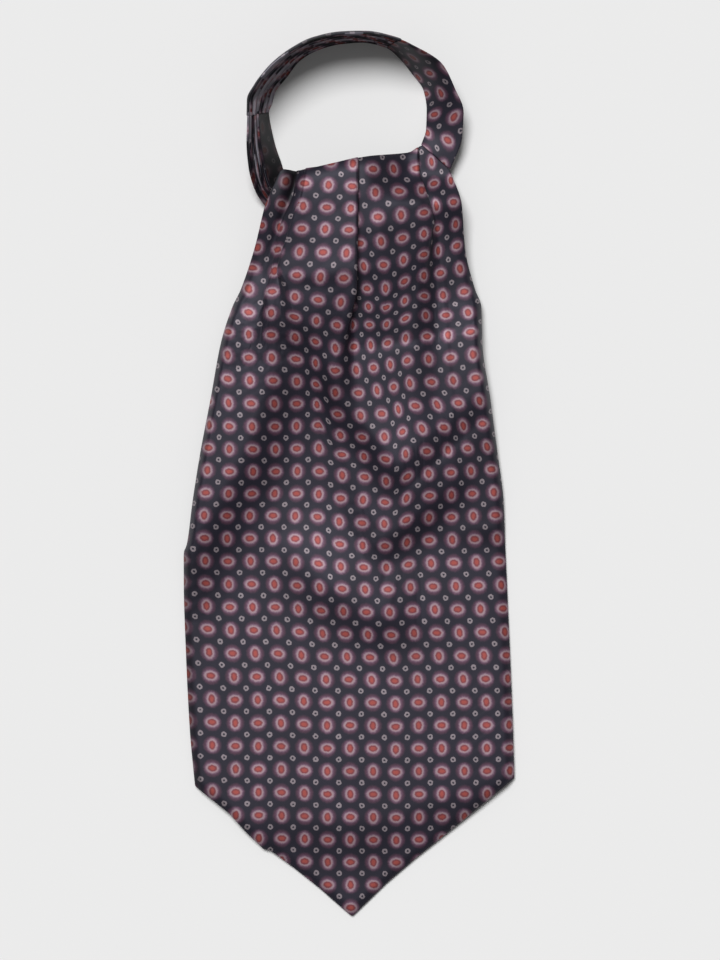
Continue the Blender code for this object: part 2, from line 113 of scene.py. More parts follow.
# The soft creases, each a ridge of changing height along a smooth line through a few points,
# steep on one side and gentle on the other. "falls" is the steep side, going along the points.
# "steep" and "gentle" are the widths of the two sides, and "steep" may be one for each point.
CREASES = (
    {
        "name": "left sweep", "falls": "left", "steep": 15.5, "gentle": 80.0,
        "x":    (-30, -34, -42, -51.5, -65.5, -81.5, -90),
        "y":    (316, 300, 271, 242, 212, 182, 150),
        "rise": (0.0, 3.0, 7.5, 9.2, 9.5, 7.0, 1.0),
    },
    {
        "name": "tongue, left side", "falls": "right", "gentle": 105.0,
        "x":    (-3, -5, -8, -11, -10, -2, 10, 23, 32),
        "y":    (376, 350, 328, 304, 281, 259, 243, 228, 218),
        "rise": (2.6, 3.8, 4.8, 6.4, 8.2, 9.2, 9.4, 8.6, 3.5),
        "steep": (40, 40, 40, 32, 12, 10, 11, 12, 12),
    },
    {
        "name": "tongue, right side", "falls": "left", "steep": 9.5, "gentle": 40.0,
        "x":    (63, 55, 47, 33, 17, 2),
        "y":    (231, 224, 216, 203, 191, 184),
        "rise": (0.0, 1.6, 4.0, 6.0, 5.0, 0.0),
    },
    {
        "name": "lower sweep", "falls": "right", "steep": 14.0, "gentle": 22.0,
        "x":    (-36, -20, -4, 14, 34),
        "y":    (191, 175, 162, 152, 152),
        "rise": (1.0, 3.5, 5.0, 4.5, 1.0),
    },
    {
        "name": "tip bend", "falls": "right", "steep": 17.0, "gentle": 100.0,
        "x":    (-70, -25, 8, 50, 84),
        "y":    (50, 50, 50, 64, 76),
        "rise": (2.0, 3.4, 3.6, 3.4, 2.5),
    },
    {
        "name": "fall of the whole head", "falls": "right", "steep": 105.0, "gentle": 60.0,
        "x":    (-58, -25, 10, 45, 75),
        "y":    (372, 378, 386, 392, 390),
        "rise": (1.5, 4.0, 5.0, 4.5, 2.0),
    },
    {
        "name": "head fall, left", "falls": "right", "steep": 48.0, "gentle": 200.0,
        "x":    (-46, -30, -14, 4, 14),
        "y":    (340, 352, 360, 364, 366),
        "rise": (1.5, 3.4, 4.0, 3.4, 1.5),
    },
    {
        "name": "head fall, right", "falls": "right", "steep": 38.0, "gentle": 30.0,
        "x":    (-4, 11, 26, 40, 54),
        "y":    (362, 364, 360, 352, 344),
        "rise": (2.0, 4.0, 5.5, 5.5, 3.0),
    },
    {
        "name": "right panel fall", "falls": "left", "steep": 24.0, "gentle": 140.0,
        "x":    (9, 9, 10, 13, 18),
        "y":    (390, 370, 345, 318, 285),
        "rise": (5.0, 5.5, 6.0, 5.0, 1.0),
    },
    {
        "name": "right edge swell", "falls": "left", "steep": 8.0, "gentle": 24.0,
        "x":    (64, 69, 73, 76),
        "y":    (306, 275, 238, 196),
        "rise": (1.0, 3.8, 5.5, 3.0),
    },
    {
        "name": "hollow under the inner left pleat", "falls": "left", "steep": 2.0, "gentle": 4.2,
        "x":    (-24.7, -27, -31, -34.4, -38.7, -41),
        "y":    (376, 364, 352, 340, 326, 314),
        "rise": (-3.2, -3.6, -2.4, -1.2, -0.6, 0.0),
    },
    {
        "name": "hollow under the outer left pleat", "falls": "left", "steep": 1.6, "gentle": 2.0,
        "x":    (-27.5, -29, -33.4, -37.2, -41.8, -46),
        "y":    (376, 364, 352, 340, 326, 314),
        "rise": (-0.6, -1.0, -1.0, -0.8, -0.5, 0.0),
    },
    {
        "name": "hollow under the right pleat", "falls": "right", "steep": 1.8, "gentle": 3.0,
        "x":    (34, 37.5, 41, 42.5, 44),
        "y":    (364, 355, 346, 336, 320),
        "rise": (-2.0, -2.0, -1.8, -1.4, 0.0),
    },
)

# How far the print has drifted from its even repeat, because the silk is drawn together at the
# head and sags in the creases: millimetres to the right, and millimetres up the blade.
DRIFT_UP = (0, 106, 152, 197, 220, 243, 266, 288, 300, 311, 334, 357, 380)
DRIFT_RIGHT = {
    "left edge":    (0, -0.8, -3.4, -4, -2.1, -0.9, -3.1, -2.9, -4.3, -5.2, -0.2, 4.2, 6.2),
    "left pleats":  (0, -0.8, -3.4, -4.8, -3.3, -3.5, -4.3, -5.2, -5, -4.5, -1.3, 0.2, 3.2),
    "left inner":   (0, -0.6, -3.3, -5.2, -4.1, -4.5, -3.8, -4.4, -4.7, -4.4, -1.8, -0.2, 2.5),
    "left middle":  (0, -0.5, -3.4, -5.3, -4.2, -4.8, -6.1, -6.3, -5.1, -4.1, -1.6, 0.2, 2.2),
    "centre left":  (0, -0.5, -3.6, -5.8, -4.1, -5.3, -7.6, -7.7, -5.9, -3.9, -1.5, 0.6, 1.4),
    "centre right": (0, -0.5, -3.6, -5.8, -4.4, -6, -8, -10.5, -11.6, -13.1, -18, -22.5, -25),
    "right middle": (0, -0.5, -3.5, -6.3, -5.2, -6.4, -11.6, -15.7, -16.4, -17, -19.4, -22, -24.6),
    "right pleat":  (0, -0.4, -3.5, -6.7, -6.5, -10.2, -16.6, -19, -19.5, -20.5, -21, -21.8, -24.8),
    "right panel":  (0, -0.4, -3.5, -6.7, -7.1, -10.7, -17.3, -19.7, -21, -22.6, -24.8, -24.6, -26.4),
    "right edge":   (0, -1.4, -4.1, -7.9, -10.2, -15.2, -18.1, -20.4, -21.8, -24, -28.5, -29.7, -31.4),
}
DRIFT_HEADWARD = {
    "left edge":    (1, 2.5, 3.7, 2.8, 2.5, 1.9, 2.8, 3, 1.7, 2, -1.2, -2.2, -2.2),
    "left pleats":  (0.5, 1.4, 2.1, 2.3, 1.5, 1, 1, 0.8, 0, -1, -3.2, -4.4, -5.7),
    "left inner":   (0.3, 0.4, 0.8, 1.9, 1.8, 1.6, 0.6, -0.7, -2.6, -3.7, -4.2, -5, -6.1),
    "left middle":  (0, 0.1, 0.3, 1.1, 1.5, 1.9, -1.1, -3.4, -5, -5.8, -4.7, -6, -6.7),
    "centre left":  (0, 0.3, 0.3, -0.8, -0.1, -3.2, -5.3, -6.7, -7.1, -6.7, -5.3, -6.8, -7.1),
    "centre right": (0, 0, -0.3, -1.7, -1.5, -4.8, -5.3, -4.7, -6.5, -10.7, -12.1, -10.8, -10.5),
    "right middle": (0, -0.6, -0.2, -2, -4, -4.1, -3.3, -4.1, -8.1, -10.7, -10.5, -9.3, -8.9),
    "right pleat":  (0, 0.2, 0.8, 1.3, -0.1, -0.4, -0.3, -0.2, -1.5, -3.8, -5.9, -7.8, -7.1),
    "right panel":  (0, 0.3, 0.9, 1.6, 0.9, 0.7, 0.6, 0.3, -1.1, -2.6, -3.3, -5.4, -5.5),
    "right edge":   (0, 0.4, 1.4, 2.7, 2.9, 3, 3, 3.3, 1.6, 0.7, 0.8, -1.5, -2.5),
}


def smooth(start, end, at):
    """0 before start, 1 after end, and an even S between them."""
    t = np.clip((np.asarray(at, float) - start) / (end - start), 0.0, 1.0)
    return t * t * (3.0 - 2.0 * t)


def curve(knots, values, at):
    """A smooth line through the values that never swings past them: cubic pieces whose slope at
    a knot is the harmonic mean of the slopes beside it, or 0 at a turn."""
    x = np.asarray(knots, float)
    y = np.asarray(values, float)
    step = np.diff(x)
    rate = np.diff(y) / step
    slope = np.zeros(len(x))
    same_way = rate[:-1] * rate[1:] > 0
    mean = 2.0 * rate[:-1] * rate[1:] / np.where(same_way, rate[:-1] + rate[1:], 1.0)
    slope[1:-1] = np.where(same_way, mean, 0.0)
    slope[0] = rate[0]
    slope[-1] = rate[-1]
    at = np.clip(np.asarray(at, float), x[0], x[-1])
    i = np.clip(np.searchsorted(x, at, side="right") - 1, 0, len(x) - 2)
    t = (at - x[i]) / step[i]
    a = (1 + 2 * t) * (1 - t) ** 2 * y[i] + t * (1 - t) ** 2 * step[i] * slope[i]
    return a + t * t * (3 - 2 * t) * y[i + 1] + t * t * (t - 1) * step[i] * slope[i + 1]


def crease_height(crease, x, y):
    """A ridge along a smooth line: its rise at the nearest point of the line, times a bell curve
    of the distance over the width. The width differs on the two sides."""
    along = np.linspace(0.0, 1.0, 81)
    knots = np.linspace(0.0, 1.0, len(crease["x"]))
    px = curve(knots, crease["x"], along)
    py = curve(knots, crease["y"], along)
    rise = curve(knots, crease["rise"], along)
    tx = np.gradient(px)
    ty = np.gradient(py)
    length = np.hypot(tx, ty)
    gap_x = x[..., None] - px
    gap_y = y[..., None] - py
    nearest = np.argmin(gap_x ** 2 + gap_y ** 2, axis=-1)
    steep = curve(knots, np.broadcast_to(crease["steep"], len(knots)), along)[nearest]
    dx = np.take_along_axis(gap_x, nearest[..., None], -1)[..., 0]
    dy = np.take_along_axis(gap_y, nearest[..., None], -1)[..., 0]
    to_left = (tx[nearest] * dy - ty[nearest] * dx) / length[nearest]
    onward = (tx[nearest] * dx + ty[nearest] * dy) / length[nearest]
    steep_side = to_left > 0 if crease["falls"] == "left" else to_left < 0
    width = np.where(steep_side, steep, crease["gentle"])
    beyond = np.where(np.abs(onward) > length[nearest], onward, 0.0)
    return rise[nearest] * np.exp(-(to_left / width) ** 2 - (beyond / steep) ** 2)


def pleat_steps(pleat, up, bend_steps, fold_steps):
    """One pleat as short steps: a bend, the inner layer, and the bend back. Gives each step's
    length and its angle, a row for each height up the blade."""
    turn = np.radians(curve(pleat["y"], pleat["turn"], up))
    fold = curve(pleat["y"], pleat["fold"], up)
    bend = curve(pleat["y"], pleat["bend"], up)
    part = (np.arange(bend_steps) + 0.5) / bend_steps
    angle = np.concatenate([part, np.ones(fold_steps), part[::-1]])
    is_bend = np.concatenate([np.ones(bend_steps), np.zeros(fold_steps), np.ones(bend_steps)])
    length = is_bend * bend[:, None] / bend_steps + (1 - is_bend) * fold[:, None] / fold_steps
    return length, angle * turn[:, None]


def front_blade_surface(rows, panel_steps, bend_steps, fold_steps):
    """The middle layer of the front blade, and the spot of the flat silk at each of its points.
    Rows run from hem to head and columns from left to right: flat panels with pleats between
    them, each pleat a turn of the silk under itself and back, and the creases raise it."""
    up = HEAD * rows
    to_hem = 1.0 - smooth(0.0, HEM_FADE, up)
    to_top = smooth(SLANT_START, HEAD, up)

    def lifted(x):
        """How far up each point of a row lies, with the hem's and the head's slant."""
        hem = np.interp(x, HEM["x"], HEM["y"])
        top = np.interp(x, FOLDED_HEAD["x"], FOLDED_HEAD["y"]) - HEAD
        a_column = (-1,) + (1,) * (np.ndim(x) - 1)
        level, low, high = (w.reshape(a_column) for w in (up, to_hem, to_top))
        return level + hem * low + top * high

    # A row's end lies on the edge at its own slanted height, which is found in a few rounds
    edges = []
    for side in ("left", "right"):
        x = curve(BLADE_EDGES["y"], BLADE_EDGES[side], up)
        for _ in range(12):
            x = curve(BLADE_EDGES["y"], BLADE_EDGES[side], lifted(x))
        edges.append(x)
    left, right = edges

    # Each row runs over the panels and round the pleats between them. "stops" keeps the first
    # and the last column of each panel.
    pieces_x = []
    pieces_z = []
    stops = []
    start = left
    level = np.zeros(len(up))
    count = 0
    for pleat, steps in zip(PLEATS + (None,), panel_steps):
        if pleat is None:
            end = right
        else:
            length, angle = pleat_steps(pleat, up, bend_steps, fold_steps)
            run = np.cumsum(length * np.cos(angle), axis=1)
            climb = np.cumsum(length * np.sin(angle), axis=1)
            edge = curve(pleat["y"], pleat["edge"], up)
            nose = run.max(axis=1)
            end = edge - nose if pleat["over"] == "left" else edge + nose - run[:, -1]
            climb = -climb if pleat["over"] == "left" else climb
        part = np.arange(steps) / steps
        pieces_x.append(start[:, None] + (end - start)[:, None] * part)
        pieces_z.append(np.repeat(level[:, None], steps, axis=1))
        stops.append((count, count + steps))
        count += steps
        if pleat is not None:
            pieces_x.append(end[:, None])
            pieces_z.append(level[:, None])
            pieces_x.append((end[:, None] + run)[:, :-1])
            pieces_z.append((level[:, None] + climb)[:, :-1])
            count += run.shape[1]
            start = end + run[:, -1]
            level = level + climb[:, -1]
    pieces_x.append(right[:, None])
    pieces_z.append(level[:, None])
    x = np.concatenate(pieces_x, axis=1)
    z = np.concatenate(pieces_z, axis=1)
    share = (x - left[:, None]) / (right - left)[:, None]
    z = z - level[:, None] * share
    z = z - np.minimum(z.min(axis=1, keepdims=True), 0.0)
    y = lifted(x)

    # The creases die out at the head's right end, where the blade runs into its taper, and lose
    # height at the free sides
    relief = sum(crease_height(crease, x, y) for crease in CREASES)
    relief = relief * (1 - smooth(8, 32, x) * smooth(352, 371, y))
    to_side = np.minimum(x - left[:, None], right[:, None] - x)
    near_side = np.clip(1 - to_side / SIDE_FALL["width"], 0, 1) ** 1.3
    side_fall = SIDE_FALL["share"] * relief * near_side * smooth(330, 300, y)
    off_x = (x - SHOULDER["x"]) / SHOULDER["half_width"]
    off_y = (y - SHOULDER["y"]) / SHOULDER["half_length"]
    z = REST + z + relief + SHOULDER["rise"] * np.exp(-off_x ** 2 - off_y ** 2)

    def rolled(edge, distance):
        return edge["drop"] * np.clip(1 - distance / edge["width"], 0, 1) ** 2

    # The turned edges roll down, but not at the head's two ends, where the silk goes on into the
    # loop. The right one climbs to the taper.
    above_hem = SQUARE_TO_HEM * (y - np.interp(x, HEM["x"], HEM["y"]))
    below_head = np.interp(x, FOLDED_HEAD["x"], FOLDED_HEAD["y"]) - y
    down = np.minimum(rolled(SIDE_ROLL, to_side) + rolled(HEM_ROLL, above_hem), MOST_ROLL)
    down = down + rolled(HEAD_ROLL, below_head)
    right_end = smooth(26, 36, x) * smooth(330, 366, y)
    left_end = smooth(-24, -35, x) * smooth(320, 346, y)
    z = z - down * (1 - right_end) * (1 - left_end)
    z = z + (JOIN - REST) * smooth(14, 35, x) * smooth(340, 371, y)

    # The print's place on each panel, and evenly across each pleat from one panel to the next
    (a0, a1), (b0, b1), (c0, c1), (d0, d1), (e0, e1) = stops
    knots = (
        (a0, "left edge"), (a1, "left pleats"), (b0, "left pleats"), (b1, "left pleats"),
        (c0, "left inner"), ((c0 + c1) // 2, "left middle"), (c1, "centre left"),
        (d0, "centre right"), ((d0 + d1) // 2, "right middle"), (d1, "right pleat"),
        (e0, "right panel"), (e1, "right edge"),
    )
    walked = np.hypot(np.diff(x, axis=1), np.diff(z, axis=1))
    walked = np.concatenate([np.zeros((len(up), 1)), np.cumsum(walked, axis=1)], axis=1)
    flat_x = np.empty_like(x)
    drift_y = np.empty_like(x)
    for (c, name), (d, next_name) in zip(knots, knots[1:]):
        part = (walked[:, c:d + 1] - walked[:, c:c + 1]) / (walked[:, d:d + 1] - walked[:, c:c + 1])
        for whole, here, there in (
            (flat_x, x[:, c] - curve(DRIFT_UP, DRIFT_RIGHT[name], y[:, c]),
             x[:, d] - curve(DRIFT_UP, DRIFT_RIGHT[next_name], y[:, d])),
            (drift_y, curve(DRIFT_UP, DRIFT_HEADWARD[name], y[:, c]),
             curve(DRIFT_UP, DRIFT_HEADWARD[next_name], y[:, d])),
        ):
            whole[:, c:d + 1] = here[:, None] + (there - here)[:, None] * part
    return np.stack([x, y, z - side_fall], axis=-1), np.stack([flat_x, y - drift_y], axis=-1)


def cloth(name, middle, flat, thickness, material, print_and_painted_light=1.0, back_shows=WRONG_SIDE):
    """A closed shell of cloth. The surface is moved out and in by half its thickness along its
    normal, and a half-round rim joins the two layers. "flat" is the spot of the flat cloth in mm
    at each point, kept as the UV map. The strength given for the face, kept as an attribute, is
    1 where all the print is seen, WRONG_SIDE where the silk's back is seen, lower where shade is
    painted, and over 1 where a highlight is painted along a pleat's edge. "back_shows" is the same for
    the other side."""
    normal = np.cross(np.gradient(middle, axis=1), np.gradient(middle, axis=0))
    normal /= np.linalg.norm(normal, axis=-1, keepdims=True)
    rows, columns = middle.shape[:2]
    index = np.arange(rows * columns).reshape(rows, columns)
    a, b, c, d = index[:-1, :-1], index[:-1, 1:], index[1:, 1:], index[1:, :-1]
    quads = np.stack([a, b, c, d], -1).reshape(-1, 4)
    count = rows * columns
    points = middle.reshape(-1, 3)
    spots = flat.reshape(-1, 2)
    normals = normal.reshape(-1, 3)
    rim = np.concatenate([index[0, :-1], index[:-1, -1], index[-1, :0:-1], index[:0:-1, 0]])
    out = np.cross(points[np.roll(rim, -1)] - points[np.roll(rim, 1)], normals[rim])
    out /= np.linalg.norm(out, axis=1, keepdims=True)
    layers = [points + normals * thickness / 2, points - normals * thickness / 2]
    kept = [spots, spots]
    print_and_light_on_face = np.broadcast_to(print_and_painted_light, (rows, columns)).ravel()
    strength = [print_and_light_on_face, np.full(count, back_shows)]
    faces = [quads, quads[:, ::-1] + count]
    # The rim is three lines of points on a half circle round the cloth's edge
    upper = rim
    start = 2 * count
    for lean in np.radians([50, 0, -50]):
        outwards = out * np.cos(lean) + normals[rim] * np.sin(lean)
        layers.append(points[rim] + outwards * thickness / 2)
        kept.append(spots[rim])
        strength.append(print_and_light_on_face[rim])
        lower = start + np.arange(len(rim))
        faces.append(np.stack([np.roll(upper, -1), upper, lower, np.roll(lower, -1)], -1))
        upper = lower
        start += len(rim)
    faces.append(np.stack([np.roll(upper, -1), upper, rim + count, np.roll(rim, -1) + count], -1))
    corners = (np.concatenate(layers) + TIP) / 1000
    corners[:, 2] = np.maximum(corners[:, 2], 0.0)
    mesh = bpy.data.meshes.new(name)
    mesh.from_pydata(corners.tolist(), [], np.concatenate(faces).tolist())
    uv = mesh.uv_layers.new(name="flat_silk")
    corner_vertex = np.empty(len(mesh.loops), dtype=np.int32)
    mesh.loops.foreach_get("vertex_index", corner_vertex)
    uv.uv.foreach_set("vector", np.concatenate(kept)[corner_vertex].astype(np.float32).ravel())
    print_and_light = mesh.attributes.new("print_and_painted_light", "FLOAT", "POINT")
    print_and_light.data.foreach_set("value", np.concatenate(strength).astype(np.float32))
    mesh.shade_smooth()
    mesh.materials.append(material)
    piece = bpy.data.objects.new(name, mesh)
    bpy.context.scene.collection.objects.link(piece)
    return piece


# Printed silk twill, a foulard: smooth filament silk woven in fine diagonals, so it has a soft
# broad sheen on a nearly black ground. Half-drop medallions 11.4 mm apart, each an oval on a round
# and turned a quarter from its neighbours, with a small ring in each space between four of them.
REPEAT = 11.375
FIRST_MEDALLION = (-0.2, 106.9)
GROUND = "#23212e"
SILK_BACK_AND_SHADE = "#0e0e10"    # the back of the cloth, also used as painted shade deep in the fine pleats and the folds
MEDALLION_ROUND = {"radius": 4.15, "colour": "#523647"}
MEDALLION_MARGIN = {"short": 3.0, "long": 3.85, "colour": "#6b5064"}
MEDALLION_RING = {"short": 2.45, "long": 3.2, "colour": "#988089"}
MEDALLION_HEART = {"short": 1.6, "long": 2.2, "colour": "#7c3c41"}
MEDALLION_DOT = {"short": 0.85, "long": 1.35, "colour": "#9b4a44"}
SMALL_RING = {"outer": 1.35, "inner": 0.5, "colour": "#847a80"}
PLEAT_EDGE_HIGHLIGHT = "#cbc6d2"  # painted highlight along a pleat's folded edge, where the strength attribute is over 1
BLEED = 0.75             # mm, how far the dye creeps unevenly at the edge of a colour
CREEPS_PER_MM = 0.9
DYE_PATCH = 20.0         # mm, the size of the patches where the dye took more or less
DYE_LEAST, DYE_MOST = 0.9, 1.08
TWILL = 0.9              # mm; real diagonals are 0.3 apart, drawn coarser so that they show
TWILL_DEPTH = 0.06       # mm
SILK_IOR = 1.54
SILK_ROUGHNESS = 0.56
SILK_SHINE = 0.38        # a share of the usual mirror shine: the twill breaks it up
SILK_LUSTRE = 0.42       # the share that the silk's bright floats throw back, in their own colour


def linear(colour):
    """An sRGB hex colour as linear RGB and alpha."""
    parts = np.array([int(colour[i:i + 2], 16) for i in (1, 3, 5)]) / 255
    parts = np.where(parts <= 0.04045, parts / 12.92, ((parts + 0.055) / 1.055) ** 2.4)
    return (*parts.tolist(), 1.0)


def add(tree, kind, settings=None, **inputs):
    """A node of that kind with its settings. An input is a number, a colour or another socket,
    and its name is the socket's with _ for a space, or i and its number."""
    node = tree.nodes.new(kind)
    for key, value in (settings or {}).items():
        setattr(node, key, value)
    for key, value in inputs.items():
        numbered = key[0] == "i" and key[1:].isdigit()
        socket = node.inputs[int(key[1:]) if numbered else key.replace("_", " ")]
        if isinstance(value, bpy.types.NodeSocket):
            tree.links.new(value, socket)
        else:
            socket.default_value = value
    return node


def printed_silk(name):
    """The printed silk. All distances are worked out in millimetres on the flat cloth."""
    material = bpy.data.materials.new(name)
    material.use_nodes = True
    tree = material.node_tree
    shader = tree.nodes["Principled BSDF"]

    def maths(operation, a, b=0.0, c=0.0):
        return add(tree, "ShaderNodeMath", {"operation": operation}, i0=a, i1=b, i2=c).outputs[0]

    def blend(share, under, over):
        mix = add(tree, "ShaderNodeMix", {"data_type": "RGBA"}, i0=share, i6=under, i7=over)
        return mix.outputs[2]

    # The spot on the flat cloth, moved a little by the dye's creep
    spot = add(tree, "ShaderNodeUVMap", {"uv_map": "flat_silk"}).outputs[0]
    creep = add(tree, "ShaderNodeTexNoise", {"noise_dimensions": "2D"}, Vector=spot,
                Scale=CREEPS_PER_MM, Detail=2.0)
    bled = add(tree, "ShaderNodeVectorMath", {"operation": "MULTIPLY_ADD"},
               i0=creep.outputs["Color"], i1=(BLEED, BLEED, 0.0), i2=spot).outputs[0]
    placed = add(tree, "ShaderNodeMapping", {"vector_type": "POINT"}, Vector=bled,
                 Location=(-FIRST_MEDALLION[0] / REPEAT, -FIRST_MEDALLION[1] / REPEAT, 0.0),
                 Scale=(1 / REPEAT, 1 / REPEAT, 1.0)).outputs[0]

    # The nearest medallion, the way from its middle in mm, and whether it stands or lies
    where = add(tree, "ShaderNodeSeparateXYZ", None, Vector=placed)
    cell_x = maths("FLOOR", maths("ADD", where.outputs[0], 0.5))
    cell_y = maths("FLOOR", maths("ADD", where.outputs[1], 0.5))
    from_x = maths("MULTIPLY", maths("SUBTRACT", where.outputs[0], cell_x), REPEAT)
    from_y = maths("MULTIPLY", maths("SUBTRACT", where.outputs[1], cell_y), REPEAT)
    lies = maths("FLOORED_MODULO", maths("ADD", cell_x, cell_y), 2.0)
    stands = maths("SUBTRACT", 1.0, lies)
    short = maths("ADD", maths("MULTIPLY", from_x, stands), maths("MULTIPLY", from_y, lies))
    long = maths("ADD", maths("MULTIPLY", from_y, stands), maths("MULTIPLY", from_x, lies))

    def oval(a, b, across, along):
        """How far out a spot lies in an oval: 0 at its middle and 1 at its outline."""
        return maths("SQRT", maths("ADD", maths("POWER", maths("DIVIDE", a, across), 2.0),
                                   maths("POWER", maths("DIVIDE", b, along), 2.0)))

    def inside(size, edge=0.19):
        """1 within the outline, where the size is 1, and 0 outside, over a soft bled edge."""
        return add(tree, "ShaderNodeMapRange", {"interpolation_type": "SMOOTHSTEP"}, Value=size,
                   i1=1.0 - edge, i2=1.0 + edge, i3=1.0, i4=0.0).outputs[0]

    round_size = oval(from_x, from_y, MEDALLION_ROUND["radius"], MEDALLION_ROUND["radius"])
    margin_size = oval(short, long, MEDALLION_MARGIN["short"], MEDALLION_MARGIN["long"])
    ring_size = oval(short, long, MEDALLION_RING["short"], MEDALLION_RING["long"])
    heart_size = oval(short, long, MEDALLION_HEART["short"], MEDALLION_HEART["long"])
    dot_size = oval(short, long, MEDALLION_DOT["short"], MEDALLION_DOT["long"])
    gap_x = maths("SUBTRACT", maths("ABSOLUTE", from_x), REPEAT / 2)
    gap_y = maths("SUBTRACT", maths("ABSOLUTE", from_y), REPEAT / 2)
    small_size = oval(gap_x, gap_y, SMALL_RING["outer"], SMALL_RING["outer"])
    small_hole = oval(gap_x, gap_y, SMALL_RING["inner"], SMALL_RING["inner"])

    colour = blend(inside(round_size, 0.22), linear(GROUND), linear(MEDALLION_ROUND["colour"]))
    colour = blend(inside(margin_size), colour, linear(MEDALLION_MARGIN["colour"]))
    colour = blend(inside(ring_size), colour, linear(MEDALLION_RING["colour"]))
    colour = blend(inside(heart_size), colour, linear(MEDALLION_HEART["colour"]))
    colour = blend(inside(dot_size, 0.3), colour, linear(MEDALLION_DOT["colour"]))
    small = maths("MULTIPLY", inside(small_size, 0.12), maths("SUBTRACT", 1.0, inside(small_hole, 0.3)))
    colour = blend(small, colour, linear(SMALL_RING["colour"]))

    # The silk's plain back, also used as painted shade, the highlight painted on the pleats' edges, and
    # the dye's uneven take
    print_and_light = add(tree, "ShaderNodeAttribute", {"attribute_name": "print_and_painted_light"}).outputs["Fac"]
    colour = blend(maths("MINIMUM", print_and_light, 1.0), linear(SILK_BACK_AND_SHADE), colour)
    painted_highlight = maths("MAXIMUM", maths("SUBTRACT", print_and_light, 1.0), 0.0)
    colour = blend(painted_highlight, colour, linear(PLEAT_EDGE_HIGHLIGHT))
    dye = add(tree, "ShaderNodeTexNoise", {"noise_dimensions": "2D"}, Vector=spot,
              Scale=1 / DYE_PATCH, Detail=3.0)
    took = add(tree, "ShaderNodeMapRange", None, Value=dye.outputs["Fac"],
               i1=0.3, i2=0.7, i3=DYE_LEAST, i4=DYE_MOST).outputs[0]
    dyed = add(tree, "ShaderNodeHueSaturation", None, Color=colour, Value=took)
    tree.links.new(dyed.outputs[0], shader.inputs["Base Color"])

    # The wave texture's diagonal bands turn 10 radians in a unit, so the scale makes one turn in
    # TWILL millimetres along a row of the cloth
    twill = add(tree, "ShaderNodeTexWave", {"wave_type": "BANDS", "bands_direction": "DIAGONAL"},
                Vector=spot, Scale=2 * np.pi / (10 * TWILL), Distortion=0.6, Detail=1.0)
    bump = add(tree, "ShaderNodeBump", None, Strength=0.25, Distance=TWILL_DEPTH / 1000,
               Height=twill.outputs["Fac"])
    tree.links.new(bump.outputs[0], shader.inputs["Normal"])
    shader.inputs["Roughness"].default_value = SILK_ROUGHNESS
    shader.inputs["IOR"].default_value = SILK_IOR
    shader.inputs["Metallic"].default_value = SILK_LUSTRE
    shader.inputs["Specular IOR Level"].default_value = SILK_SHINE
    return material


DEEP_FOLD = {"x": -30, "y": 352, "lean": 0.22}   # a line at the head's left end, leaning right
ROWS = 220
PANEL_STEPS = (18, 6, 20, 18, 20)
BEND_STEPS = 9
FOLD_STEPS = 5


def print_and_shade_on_front(x, y):
    """How strongly the print is seen on the front blade: all of it, less where shade is painted into
    the deep fold and the hollow beside that, and less along the rolled strip low on the left."""
    past_fold = x - DEEP_FOLD["x"] - DEEP_FOLD["lean"] * (y - DEEP_FOLD["y"])
    # Painted shade: the deep fold, and the hollow beside it
    deep = smooth(346, 366, y) * (1 - smooth(-2, 1.5, past_fold))
    hollow = np.exp(-((past_fold + 2) / 2.0) ** 2) * smooth(336, 358, y)
    strip = (1 - smooth(1.5, 4.5, x - x[:, :1])) * smooth(184, 180, y)
    return np.clip(1 - 0.5 * deep - 0.45 * hollow - 0.4 * strip, 0.05, 1.0)


silk = printed_silk("printed_silk_twill")
middle, flat = front_blade_surface(np.linspace(0, 1, ROWS), PANEL_STEPS, BEND_STEPS, FOLD_STEPS)
print_and_light = print_and_shade_on_front(middle[..., 0], middle[..., 1])
front_blade = cloth("front_blade_silk", middle, flat, SILK_THICKNESS, silk, print_and_light)
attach(front_blade, "root")
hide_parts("front_blade")


# The neck loop.
# The blades' narrow ends climb from the table and stand on edge, sewn to the ends of a neckband
# of fine pleats stitched down. The table gives the rim inside the loop and the rim outside it,
# at each station round it.
LOOP = {
    "at": ("hidden end", "under head", "left bend", "left side", "left wall", "left seam",
           "band 1", "band 2", "band 3", "band 4", "band 5", "band 6", "band 7", "right seam",
           "right wall", "right lean", "right side", "right low", "right bend", "blade corner"),
    "in_x": (-23, -30, -34, -35.5, -39, -42, -40.5, -38.7, -33, -26.7, -18.8, -6.8, 5, 17.5,
             23.5, 30.7, 36.2, 37.8, 37.4, 34.9),
    "in_y": (357.3, 364.3, 369.4, 375, 385.5, 401, 405.5, 411.6, 419, 427, 432, 435.6, 436.6, 433.8,
             429.1, 420.4, 412.4, 402.8, 392.5, 384.1),
    "in_z": (1.0, 1.0, 1.0, 0.6, 0.5, 0.2, 0.2, 0.2, 0.2, 0.2, 0.2, 0.2, 0.2, 0.2,
             0.2, 0.2, 0.5, 1.2, 3.5, 7.0),
    "out_x": (-33.9, -42, -47.7, -50.6, -51.4, -50.8, -50.8, -47.2, -38.5, -28.4, -18.3, -5, 7.5, 24.1,
              30.3, 43.8, 50.5, 54.9, 54.2, 48.6),
    "out_y": (341.3, 353, 361.5, 371.7, 382.8, 396.2, 404, 411, 421.5, 428.8, 433.6, 436.2, 436.6, 433.3,
              430.7, 423, 411.2, 399.8, 387.4, 372.2),
    "out_z": (1.0, 3.0, 7.5, 16, 23, 28, 29, 29, 30, 30, 30, 30, 29, 27,
              25, 20, 15.5, 12.5, 9.5, 7.0),
}
SEAM = 0.4              # the gap where two pieces are sewn together
LOOP_THICKNESS = 1.0


